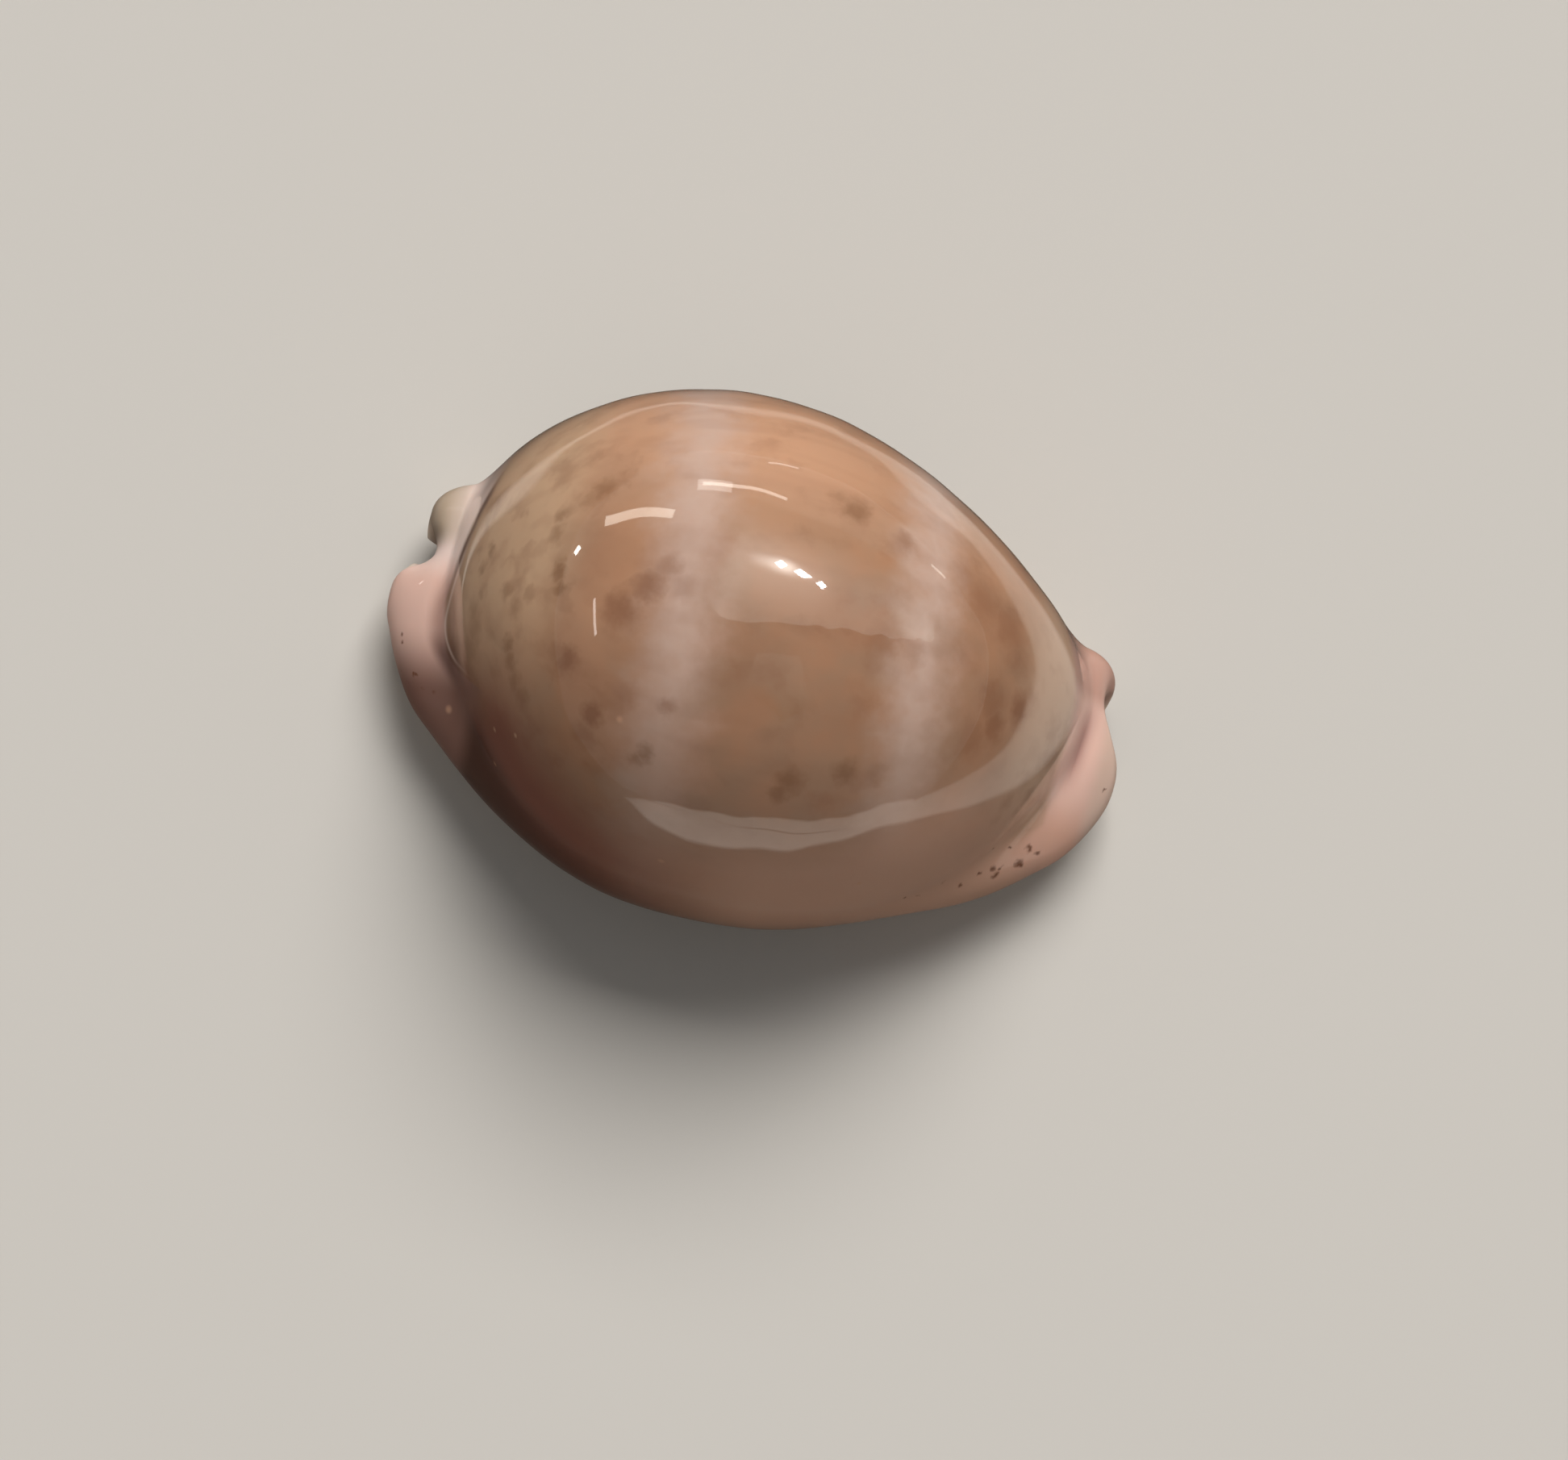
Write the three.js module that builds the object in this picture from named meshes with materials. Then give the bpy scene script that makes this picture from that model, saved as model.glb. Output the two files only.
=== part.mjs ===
// Atlantic gray cowrie: the whole shell, grown as one piece, lying on its base.
// Millimetres. +X is the front (anterior) end, -Y the outer lip's side, +Z the domed back.
// The shell is one wall, rolled round a hollow that opens along the base through a toothed slit.
// Every section across the length is one closed loop: over the dome, round the columellar lip,
// back inside the hollow, and round the outer lip.
import * as THREE from 'three';
import { mergeVertices } from 'three/addons/utils/BufferGeometryUtils.js';

// Driving dimensions
const LENGTH = 28;
const DOME_HALF_LENGTH = 12.4;
const DOME_HEIGHT = 10.2; // above the line that the sections turn round
const DOME_TO_OUTER_LIP = 9.2;
const DOME_TO_COLUMELLA = 9.8;
const WALL = 1.25;
const BASE_WALL = 2.4;
const LIP_REACH = 0.6; // of each rounded lip, into the slit
const TEETH = 20;
const TOOTH_HEIGHT = 0.26; // of the teeth on the lips, over and under their middle
const GROOVE_DEPTH = 0.22; // of the grooves between the teeth, where they run out over the base
const GROOVE_RUN = 1.0;

// Roundness of the sections: 2 is an ellipse, more is squarer
const DOME_SQUARENESS = 2.1;
const MARGIN_SQUARENESS = 2.3;
const RIM_SQUARENESS = 2.5;
const LIP_SQUARENESS = 2.9;

// How softly the hollow melts into its canals
const CANAL_BLEND = 0.4;

// Sections along the shell and steps round each one
const SECTIONS_PER_TOOTH = 4;
const RIM_SECTIONS = 5;
const END_CROWDING = 0.12; // closer sections and teeth towards the two ends
const ARC_STEPS = 24;
const ARC_CROWDING = 0.15; // closer steps at the lips than over the back
const LIP_STEPS = 3;

/** Smooth curve through [place, value] points: a natural cubic spline, held level past its ends. */
function smoothCurve(points) {
  const last = points.length - 1;
  const place = points.map((point) => point[0]);
  const value = points.map((point) => point[1]);
  const gap = place.slice(1).map((next, i) => next - place[i]);
  const slope = gap.map((width, i) => (value[i + 1] - value[i]) / width);
  const carry = [0];
  const load = [0];
  for (let i = 1; i < last; i++) {
    const pivot = 2 * (gap[i - 1] + gap[i]) - gap[i - 1] * carry[i - 1];
    carry.push(gap[i] / pivot);
    load.push((6 * (slope[i] - slope[i - 1]) - gap[i - 1] * load[i - 1]) / pivot);
  }
  const bend = new Array(last + 1).fill(0);
  for (let i = last - 1; i > 0; i--) {
    bend[i] = load[i] - carry[i] * bend[i + 1];
  }
  return (where) => {
    const x = THREE.MathUtils.clamp(where, place[0], place[last]);
    const next = place.findIndex((edge) => edge >= x);
    const i = Math.max(next - 1, 0);
    const left = x - place[i];
    const right = place[i + 1] - x;
    const curved = (bend[i] * right ** 3 + bend[i + 1] * left ** 3) / (6 * gap[i]);
    const fromLeft = (value[i] / gap[i] - (bend[i] * gap[i]) / 6) * right;
    const fromRight = (value[i + 1] / gap[i] - (bend[i + 1] * gap[i]) / 6) * left;
    return curved + fromLeft + fromRight;
  };
}

// Along the length, from the rear canal at -14 to the front canal at 14
const slitMiddle = smoothCurve([
  [-14, 2.0], [-11, 1.1], [-6, -0.2], [0, -0.9], [6, -0.6], [11, 0.6], [14, 1.5],
]);
const slitWidth = smoothCurve([[-14, 1.5], [-10, 0.9], [0, 0.9], [7, 1.4], [11, 1.8], [14, 1.8]]);
const centreAcross = smoothCurve([
  [-14, 2.0], [-12, 1.5], [-9, 0.5], [-5, 0], [0, 0], [5, 0], [9, 0.4], [12, 1.2], [14, 1.5],
]);
const centreHeight = smoothCurve([
  [-14, 2.3], [-12, 2.6], [-9, 3.8], [-5, 4.8], [0, 5.1], [5, 4.9], [9, 3.9], [12, 2.7], [14, 2.3],
]);
const outerLipMargin = smoothCurve([
  [-14, 4.0], [-12.4, 5.6], [-10.4, 6.85], [-7.4, 8.2], [-4.2, 9.3], [-0.8, 9.6],
  [2.6, 9.2], [6.6, 7.75], [9.6, 6.85], [11.6, 5.85], [13, 4.7], [14, 3.9],
]);
const columellarMargin = smoothCurve([
  [-14, 2.0], [-12.4, 2.95], [-11.2, 3.75], [-9, 5.7], [-5, 8.4], [0, 9.2],
  [5, 7.8], [9, 4.8], [11, 3.35], [12.4, 2.8], [14, 2.2],
]);
const marginTop = smoothCurve([
  [-14, 1.7], [-12, 2.0], [-9, 2.6], [0, 3.5], [9, 2.6], [12, 1.9], [14, 1.6],
]);
// Below 0 the base reaches the table, and is flat there: the small spot that the shell rests on
const baseLift = smoothCurve([
  [-14, 0.9], [-11, 0.35], [-7, -0.05], [0, -0.4], [7, -0.05], [11, 0.35], [14, 0.8],
]);
const marginBlend = smoothCurve([[-14, 1.6], [-9, 0.8], [9, 0.8], [14, 1.6]]);
const canalRadius = smoothCurve([[-14, 0.7], [-12.5, 0.85], [-10, 1.25], [10, 1.25], [12.5, 1.1], [14, 0.95]]);

// Round each end, in degrees: -90 is down at the columellar lip, 90 the roof, 180 the outer lip's side
const rearReach = smoothCurve([
  [-90, 13.2], [-45, 13.5], [0, 13.5], [30, 13.3], [65, 12.8],
  [95, 12.7], [130, 13.45], [170, 14.25], [215, 14.0], [270, 13.4],
]);
const frontReach = smoothCurve([
  [-90, 12.9], [-45, 13.2], [0, 13.2], [30, 12.9], [60, 12.8],
  [90, 13.1], [130, 13.6], [170, 14.0], [215, 13.9], [270, 13.4],
]);
const rimLength = smoothCurve([[-90, 1.3], [0, 1.5], [55, 0.7], [90, 0.9], [150, 1.6], [200, 1.9], [270, 1.5]]);

/** The larger of two lengths, with a soft change from one to the other. */
function softMax(a, b, blend) {
  const share = THREE.MathUtils.clamp(0.5 + (0.5 * (a - b)) / blend, 0, 1);
  return b + (a - b) * share + blend * share * (1 - share);
}

/** Distance from the centre to a rounded oval in one direction. */
function ovalRadius(angle, oval, squareness) {
  const across = Math.cos(angle);
  const upward = Math.sin(angle);
  const middle = (oval.lipSide + oval.columellarSide) / 2;
  const halfWidth = middle + ((oval.columellarSide - oval.lipSide) / 2) * across;
  const halfHeight = upward < 0 ? oval.below : oval.above;
  const sum = Math.abs(across / halfWidth) ** squareness + Math.abs(upward / halfHeight) ** squareness;
  return sum ** (-1 / squareness);
}

/** The dome's half sizes at one place along the shell: an egg shape, blunter at the rear. */
function domeOval(x) {
  const place = THREE.MathUtils.clamp(x / DOME_HALF_LENGTH, -0.9999, 0.9999);
  const round = Math.sqrt(1 - place ** 2);
  const quartic = place ** 4;
  return {
    lipSide: DOME_TO_OUTER_LIP * round * (1 - 0.06 * place - 0.05 * quartic),
    columellarSide: DOME_TO_COLUMELLA * round * (1 - 0.195 * place - 0.03 * place ** 2 - 0.12 * quartic),
    above: DOME_HEIGHT * round * (1 - 0.1 * place + 0.12 * place ** 2 - 0.1 * quartic),
    below: centreHeight(x) * round,
  };
}

/** Radius of the outside: the dome, or the thick margins and the base where they stand further out. */
function outerRadius(x, angle) {
  const margin = {
    lipSide: outerLipMargin(x),
    columellarSide: columellarMargin(x),
    above: marginTop(x),
    below: centreHeight(x) - baseLift(x),
  };
  const dome = ovalRadius(angle, domeOval(x), DOME_SQUARENESS);
  return softMax(dome, ovalRadius(angle, margin, MARGIN_SQUARENESS), marginBlend(x));
}

/** Radius of the hollow, which narrows to a canal at each end. */
function innerRadius(x, angle) {
  const least = 0.1;
  const dome = domeOval(x);
  const hollow = {
    lipSide: Math.max(dome.lipSide - 1.2 * WALL, least),
    columellarSide: Math.max(dome.columellarSide - 1.2 * WALL, least),
    above: Math.max(dome.above - WALL, least),
    below: Math.max(dome.below - BASE_WALL * (dome.below / centreHeight(x)), least),
  };
  return softMax(ovalRadius(angle, hollow, DOME_SQUARENESS), canalRadius(x), CANAL_BLEND);
}

/** Where a section crosses one angle: its place along the shell, and the wall's two radii. */
function stationAt(section, angle) {
  const degrees = THREE.MathUtils.radToDeg(angle);
  const rear = rearReach(degrees) - rimLength(degrees);
  const front = frontReach(degrees) - rimLength(degrees);
  const body = section.along * THREE.MathUtils.lerp(rear, front, 0.5 + 0.5 * section.along);
  const x = body + section.along * rimLength(degrees) * section.rim;
  const outer = outerRadius(x, angle);
  const inner = innerRadius(x, angle);
  const middle = inner + (outer - inner) * (0.5 - 0.12 * section.rim);
  const thinning = (1 - section.rim ** RIM_SQUARENESS) ** (1 / RIM_SQUARENESS);
  return {
    x,
    outer: middle + (outer - middle) * thinning,
    inner: middle - (middle - inner) * thinning,
  };
}

/** A point of a section at one angle, on the outside or in the hollow. */
function pointAt(section, angle, side) {
  const station = stationAt(section, angle);
  const y = centreAcross(station.x) + station[side] * Math.cos(angle);
  const z = centreHeight(station.x) + station[side] * Math.sin(angle);
  return new THREE.Vector3(station.x, y, z);
}

/** Angle at which the wall stops beside the slit: side is -1 at the outer lip, 1 at the columella. */
function lipAngle(section, side) {
  const nearSlit = THREE.MathUtils.degToRad(side < 0 ? 265 : -85);
  const { x } = stationAt(section, nearSlit);
  const lipDepth = 0.5;
  const across = slitMiddle(x) + side * (slitWidth(x) / 2 + LIP_REACH) - centreAcross(x);
  const angle = Math.atan2(lipDepth - centreHeight(x), across);
  return side < 0 && angle < 0 ? angle + 2 * Math.PI : angle;
}

/** Half-round lip between the last points of the two faces, standing out as a tooth or back as a groove. */
function lipPoints(from, to, tooth) {
  const middle = from.clone().add(to).multiplyScalar(0.5);
  const half = from.clone().sub(to).multiplyScalar(0.5);
  const outward = new THREE.Vector3(0, -half.z, half.y).normalize();
  const thickEnough = 0.6;
  const reach = Math.min(LIP_REACH, half.length());
  const relief = TOOTH_HEIGHT * tooth * Math.min(1, half.length() / thickEnough);
  const points = [];
  for (let step = 1; step < LIP_STEPS; step++) {
    const turn = (Math.PI * step) / LIP_STEPS;
    const bulge = Math.sin(turn) ** (2 / LIP_SQUARENESS);
    const rise = Math.sign(Math.cos(turn)) * Math.abs(Math.cos(turn)) ** (2 / LIP_SQUARENESS);
    const stand = (reach + relief * bulge) * bulge;
    points.push(middle.clone().addScaledVector(half, rise).addScaledVector(outward, stand));
  }
  return points;
}

/** Keeps the base on the table, and lifts it into grooves between the teeth beside the slit. */
function finishBase(outside, section, tooth) {
  const lips = [outside[0].y, outside[ARC_STEPS].y];
  outside.forEach((point) => {
    point.z = Math.max(point.z, 0);
    const fromLip = Math.min(...lips.map((lip) => Math.abs(point.y - lip)));
    const fade = Math.max(0, 1 - fromLip / GROOVE_RUN);
    const under = Math.max(0, 1 - point.z / GROOVE_RUN);
    point.z += GROOVE_DEPTH * (0.5 - 0.5 * tooth) * fade * under * (1 - section.rim);
  });
}

/** One closed loop round the wall. */
function sectionLoop(section) {
  const start = lipAngle(section, -1);
  const end = lipAngle(section, 1);
  const angles = [];
  for (let step = 0; step <= ARC_STEPS; step++) {
    const even = step / ARC_STEPS;
    const crowded = even - (ARC_CROWDING * Math.sin(2 * Math.PI * even)) / (2 * Math.PI);
    angles.push(THREE.MathUtils.lerp(start, end, crowded));
  }
  const outside = angles.map((angle) => pointAt(section, angle, 'outer'));
  const inside = angles.map((angle) => pointAt(section, angle, 'inner')).reverse();
  const tooth = -Math.cos(2 * Math.PI * section.toothCount);
  finishBase(outside, section, tooth);
  const columellarLip = lipPoints(outside[ARC_STEPS], inside[0], tooth);
  const outerLip = lipPoints(inside[ARC_STEPS], outside[0], tooth);
  return [...outside, ...columellarLip, ...inside, ...outerLip];
}

/** Sections from the rear rim to the front rim; rim goes from 0 at its start to 1 at its edge. */
function sectionList() {
  const rim = [];
  for (let step = 1; step <= RIM_SECTIONS; step++) {
    rim.push(Math.sin(((Math.PI / 2) * step) / RIM_SECTIONS));
  }
  const sections = rim.toReversed().map((share) => ({ along: -1, rim: share, toothCount: 0 }));
  const bodySteps = TEETH * SECTIONS_PER_TOOTH;
  for (let step = 0; step <= bodySteps; step++) {
    const even = (2 * step) / bodySteps - 1;
    const along = even * (1 + END_CROWDING) - END_CROWDING * even ** 3;
    sections.push({ along, rim: 0, toothCount: step / SECTIONS_PER_TOOTH });
  }
  return sections.concat(rim.map((share) => ({ along: 1, rim: share, toothCount: TEETH })));
}

/** Triangles between neighbouring loops, without those that shrink to a line at the rims. */
function shellGeometry() {
  const loops = sectionList().map(sectionLoop);
  const round = loops[0].length;
  const positions = loops.flat().flatMap((point) => point.toArray());
  const indices = [];
  for (let row = 0; row < loops.length - 1; row++) {
    for (let step = 0; step < round; step++) {
      const a = row * round + step;
      const b = row * round + ((step + 1) % round);
      indices.push(a, a + round, b, b, a + round, b + round);
    }
  }
  const open = new THREE.BufferGeometry();
  open.setAttribute('position', new THREE.Float32BufferAttribute(positions, 3));
  open.setIndex(indices);
  const merged = mergeVertices(open, 1e-3);
  const corners = merged.index.array;
  const kept = [];
  for (let i = 0; i < corners.length; i += 3) {
    const triangle = [corners[i], corners[i + 1], corners[i + 2]];
    if (new Set(triangle).size === 3) kept.push(...triangle);
  }
  merged.setIndex(kept);
  return merged;
}

/** At the stated length, with the middle of the base's box at the origin. */
function settle(geometry) {
  geometry.computeBoundingBox();
  const size = geometry.boundingBox.getSize(new THREE.Vector3());
  geometry.scale(LENGTH / size.x, LENGTH / size.x, LENGTH / size.x);
  geometry.computeBoundingBox();
  const middle = geometry.boundingBox.getCenter(new THREE.Vector3());
  geometry.translate(-middle.x, -middle.y, -geometry.boundingBox.min.z);
  geometry.computeVertexNormals();
  return geometry;
}

function cowrie() {
  const enamel = new THREE.MeshStandardMaterial({ color: 0xaa8269, roughness: 0.15, metalness: 0 });
  const shell = new THREE.Mesh(settle(shellGeometry()), enamel);
  shell.name = 'shell';
  const group = new THREE.Group();
  group.add(shell);
  return group;
}

export default cowrie();
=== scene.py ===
"""Atlantic gray cowrie: the looks of the shell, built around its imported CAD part.

The shell is one wall rolled round a hollow. Its sizes are in millimetres, and the finished mesh is
in metres: +X is the front (anterior) end, -Y the outer lip's side, +Z the domed back.
"""

import math

import bmesh
import bpy
import numpy as np
from mathutils import Matrix, Vector


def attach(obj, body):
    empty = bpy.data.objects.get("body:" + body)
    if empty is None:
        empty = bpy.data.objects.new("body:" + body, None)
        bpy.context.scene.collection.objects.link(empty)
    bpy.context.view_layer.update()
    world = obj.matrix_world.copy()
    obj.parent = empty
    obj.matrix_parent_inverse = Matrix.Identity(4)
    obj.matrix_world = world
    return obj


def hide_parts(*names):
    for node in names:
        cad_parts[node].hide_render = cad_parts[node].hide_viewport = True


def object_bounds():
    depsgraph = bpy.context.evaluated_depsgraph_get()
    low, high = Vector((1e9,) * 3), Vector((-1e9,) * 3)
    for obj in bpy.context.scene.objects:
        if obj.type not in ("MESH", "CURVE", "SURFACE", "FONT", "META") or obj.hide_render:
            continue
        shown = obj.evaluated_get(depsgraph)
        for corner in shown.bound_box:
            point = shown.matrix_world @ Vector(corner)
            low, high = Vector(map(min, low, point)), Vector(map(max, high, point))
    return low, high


MM = 0.001  # metres in a millimetre
SAME_POINT = 0.5e-6  # metres within which two corners are joined
BLACK = (0, 0, 0, 1)

# Driving dimensions of the shell, in millimetres
DOME_HALF_LENGTH = 12.4
DOME_HEIGHT = 10.2  # above the line that the sections turn round
DOME_TO_OUTER_LIP = 9.2
DOME_TO_COLUMELLA = 9.8
WALL = 1.25
BASE_WALL = 2.4
LIP_REACH = 0.6
LIP_DEPTH = 0.5
TEETH = 20
TOOTH_HEIGHT = 0.26
GROOVE_DEPTH = 0.22
GROOVE_RUN = 1.5
RIPPLE = 0.016  # of the gentle unevenness that makes reflections waver
LOBE_SWELL = 0.35  # of the lobes at the two ends of the outer lip

# Roundness of the sections: 2 is an ellipse, more is squarer
DOME_SQUARENESS = 2.1
MARGIN_SQUARENESS = 2.3
RIM_SQUARENESS = 2.5
LIP_SQUARENESS = 2.9
CANAL_BLEND = 0.4

# Fineness of the mesh
BODY_ROWS = 344
RIM_ROWS = 14
ARC_STEPS = 120
LIP_STEPS = 9
END_CROWDING = 0.12
ARC_CROWDING = 0.3


def smooth_curve(*points):
    """Smooth curve through (place, value) points: a natural cubic spline, held level past its ends."""
    place, value = np.array(points, float).T
    gap = np.diff(place)
    slope = np.diff(value) / gap
    system = np.eye(len(place))
    load = np.zeros(len(place))
    for i in range(1, len(place) - 1):
        system[i, i - 1 : i + 2] = gap[i - 1], 2 * (gap[i - 1] + gap[i]), gap[i]
        load[i] = 6 * (slope[i] - slope[i - 1])
    bend = np.linalg.solve(system, load)

    def height(where):
        x = np.clip(where, place[0], place[-1])
        i = np.clip(np.searchsorted(place, x) - 1, 0, len(gap) - 1)
        left = x - place[i]
        right = place[i + 1] - x
        curved = (bend[i] * right**3 + bend[i + 1] * left**3) / (6 * gap[i])
        from_left = (value[i] / gap[i] - bend[i] * gap[i] / 6) * right
        from_right = (value[i + 1] / gap[i] - bend[i + 1] * gap[i] / 6) * left
        return curved + from_left + from_right

    return height


# Along the length, from the rear canal at -14 to the front canal at 14
slit_middle = smooth_curve((-14, 2.0), (-11, 1.1), (-6, -0.2), (0, -0.9), (6, -0.6), (11, 0.6), (14, 1.5))
slit_width = smooth_curve((-14, 1.5), (-10, 0.9), (0, 0.9), (7, 1.4), (11, 1.8), (14, 1.8))
centre_across = smooth_curve(
    (-14, 2.0), (-12, 1.5), (-9, 0.5), (-5, 0), (0, 0), (5, 0), (9, 0.4), (12, 1.2), (14, 1.5)
)
centre_height = smooth_curve(
    (-14, 2.3), (-12, 2.6), (-9, 3.8), (-5, 4.8), (0, 5.1), (5, 4.9), (9, 3.9), (12, 2.7), (14, 2.3)
)
outer_lip_margin = smooth_curve(
    (-14, 4.0), (-12.4, 5.6), (-10.4, 6.85), (-7.4, 8.2), (-4.2, 9.3), (-0.8, 9.6),
    (2.6, 9.2), (6.6, 7.75), (9.6, 6.85), (11.6, 5.85), (13, 4.7), (14, 3.9),
)
columellar_margin = smooth_curve(
    (-14, 2.0), (-12.4, 2.95), (-11.2, 3.75), (-9, 5.7), (-5, 8.4), (0, 9.2),
    (5, 7.8), (9, 4.8), (11, 3.35), (12.4, 2.8), (14, 2.2),
)
margin_top = smooth_curve((-14, 1.7), (-12, 2.0), (-9, 2.6), (0, 3.5), (9, 2.6), (12, 1.9), (14, 1.6))
base_lift = smooth_curve((-14, 0.9), (-11, 0.35), (-7, -0.05), (0, -0.4), (7, -0.05), (11, 0.35), (14, 0.8))
margin_blend = smooth_curve((-14, 1.1), (-9, 0.8), (9, 0.8), (14, 1.1))
canal_radius = smooth_curve((-14, 0.7), (-12.5, 0.85), (-10, 1.25), (10, 1.25), (12.5, 1.1), (14, 0.95))

# Round each end, in degrees: -90 is down at the columellar lip, 90 the roof, 180 the outer lip's side
rear_reach = smooth_curve(
    (-90, 13.2), (-45, 13.5), (0, 13.5), (30, 13.45), (50, 13.3), (72, 13.05),
    (95, 12.95), (130, 13.45), (170, 14.25), (215, 14.0), (270, 13.4),
)
front_reach = smooth_curve(
    (-90, 12.9), (-45, 13.2), (0, 13.2), (30, 12.9), (60, 12.8),
    (90, 13.1), (130, 13.6), (170, 14.0), (215, 13.9), (270, 13.4),
)
rim_length = smooth_curve((-90, 1.3), (0, 1.5), (55, 0.7), (90, 0.9), (150, 1.6), (200, 1.9), (270, 1.5))


def lerp(a, b, share):
    return a + (b - a) * share


def soft_max(a, b, blend):
    """The larger of two lengths with a soft change between them, and how far the first one has won."""
    share = np.clip(0.5 + 0.5 * (a - b) / blend, 0, 1)
    return b + (a - b) * share + blend * share * (1 - share), share


def oval_radius(angle, lip_side, columellar_side, above, below, squareness):
    """Distance from the centre to a rounded oval in one direction."""
    across = np.cos(angle)
    upward = np.sin(angle)
    half_width = (lip_side + columellar_side) / 2 + (columellar_side - lip_side) / 2 * across
    half_height = np.where(upward < 0, below, above)
    total = np.abs(across / half_width) ** squareness + np.abs(upward / half_height) ** squareness
    return total ** (-1 / squareness)


def dome_oval(x):
    """The dome's half sizes at one place along the shell: an egg shape, blunter at the rear."""
    place = np.clip(x / DOME_HALF_LENGTH, -0.9999, 0.9999)
    round_off = np.sqrt(1 - place**2)
    quartic = place**4
    lip_side = DOME_TO_OUTER_LIP * round_off * (1 - 0.06 * place - 0.05 * quartic)
    columellar_side = DOME_TO_COLUMELLA * round_off * (1 - 0.195 * place - 0.03 * place**2 - 0.12 * quartic)
    above = DOME_HEIGHT * round_off * (1 - 0.1 * place + 0.12 * place**2 - 0.1 * quartic)
    below = centre_height(x) * round_off
    return lip_side, columellar_side, above, below


def swell(x, angle):
    """The pillow-like swelling of the lobes, between the crease at the dome's foot and the rim."""
    crown = 150  # degrees round the end
    spread = 32
    rear_place = -12.5
    front_place = 12.6
    half_length = 0.8
    around = np.exp(-(((np.degrees(angle) - crown) / spread) ** 2))
    rear = np.exp(-(((x - rear_place) / half_length) ** 2))
    front = np.exp(-(((x - front_place) / half_length) ** 2))
    return LOBE_SWELL * around * (rear + front)


def outer_radius(x, angle):
    """Radius of the outside, and how far it belongs to the dome rather than to margins and base."""
    dome = oval_radius(angle, *dome_oval(x), DOME_SQUARENESS)
    below = centre_height(x) - base_lift(x)
    margin = oval_radius(
        angle, outer_lip_margin(x), columellar_margin(x), margin_top(x), below, MARGIN_SQUARENESS
    )
    return soft_max(dome, margin + swell(x, angle), margin_blend(x))


def inner_radius(x, angle):
    """Radius of the hollow, which narrows to a canal at each end."""
    least = 0.1
    lip_side, columellar_side, above, below = dome_oval(x)
    hollow = oval_radius(
        angle,
        np.maximum(lip_side - 1.2 * WALL, least),
        np.maximum(columellar_side - 1.2 * WALL, least),
        np.maximum(above - WALL, least),
        np.maximum(below - BASE_WALL * below / centre_height(x), least),
        DOME_SQUARENESS,
    )
    return soft_max(hollow, canal_radius(x), CANAL_BLEND)[0]


def station_at(along, rim, angle):
    """Where a section crosses one angle: place along the shell, the wall's two radii, share of the dome."""
    degrees = np.degrees(angle)
    rear = rear_reach(degrees) - rim_length(degrees)
    front = front_reach(degrees) - rim_length(degrees)
    body = along * lerp(rear, front, 0.5 + 0.5 * along)
    x = body + along * rim_length(degrees) * rim
    outer, on_dome = outer_radius(x, angle)
    inner = inner_radius(x, angle)
    middle = inner + (outer - inner) * (0.5 - 0.12 * rim)
    thinning = (1 - rim**RIM_SQUARENESS) ** (1 / RIM_SQUARENESS)
    return x, middle + (outer - middle) * thinning, middle - (middle - inner) * thinning, on_dome


def lip_angle(along, rim, side):
    """Angle at which the wall stops beside the slit: side is -1 at the outer lip, 1 at the columella."""
    near_slit = math.radians(265 if side < 0 else -85)
    x = station_at(along, rim, near_slit)[0]
    across = slit_middle(x) + side * (slit_width(x) / 2 + LIP_REACH) - centre_across(x)
    angle = np.arctan2(LIP_DEPTH - centre_height(x), across)
    return np.where((side < 0) & (angle < 0), angle + 2 * math.pi, angle)


def ripple(x, angle):
    """Gentle unevenness of the dome, which makes reflections waver."""
    slow = np.sin(1.3 * x + 2.1 * np.sin(2 * angle)) * np.sin(5 * angle + 0.4 * x)
    quick = 0.5 * np.sin(2.3 * x - 4 * angle + 1.0) * np.sin(0.9 * x + 7 * angle)
    return RIPPLE * (slow + quick)


def lip_points(start, end, tooth):
    """Half-round lip between the last points of the two faces, out as a tooth or back as a groove."""
    thick_enough = 0.6
    middle = (start + end) / 2
    half = (start - end) / 2
    length = np.linalg.norm(half, axis=1, keepdims=True)
    outward = np.stack([np.zeros(len(half)), -half[:, 2], half[:, 1]], 1)
    outward /= np.maximum(np.linalg.norm(outward, axis=1, keepdims=True), 1e-9)
    reach = np.minimum(LIP_REACH, length)
    relief = TOOTH_HEIGHT * tooth[:, None] * np.minimum(1, length / thick_enough)
    points = []
    for step in range(1, LIP_STEPS):
        turn = math.pi * step / LIP_STEPS
        bulge = math.sin(turn) ** (2 / LIP_SQUARENESS)
        rise = math.copysign(abs(math.cos(turn)) ** (2 / LIP_SQUARENESS), math.cos(turn))
        points.append(middle + half * rise + outward * (reach + relief * bulge) * bulge)
    return np.stack(points, 1)


def finish_base(outside, rim, tooth):
    """Keeps the base on the table, and lifts it into grooves between the teeth beside the slit."""
    outside[..., 2] = np.maximum(outside[..., 2], 0)
    from_outer_lip = np.abs(outside[..., 1] - outside[:, -1:, 1])
    from_columella = np.abs(outside[..., 1] - outside[:, :1, 1])
    from_lip = np.minimum(from_outer_lip, from_columella)
    fade = np.clip(1 - from_lip / GROOVE_RUN, 0, 1)
    under = np.clip(1 - outside[..., 2] / GROOVE_RUN, 0, 1)
    groove = (0.5 - 0.5 * tooth)[:, None]
    outside[..., 2] += GROOVE_DEPTH * groove * fade**2 * (3 - 2 * fade) * under * (1 - rim)[:, None]


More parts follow.
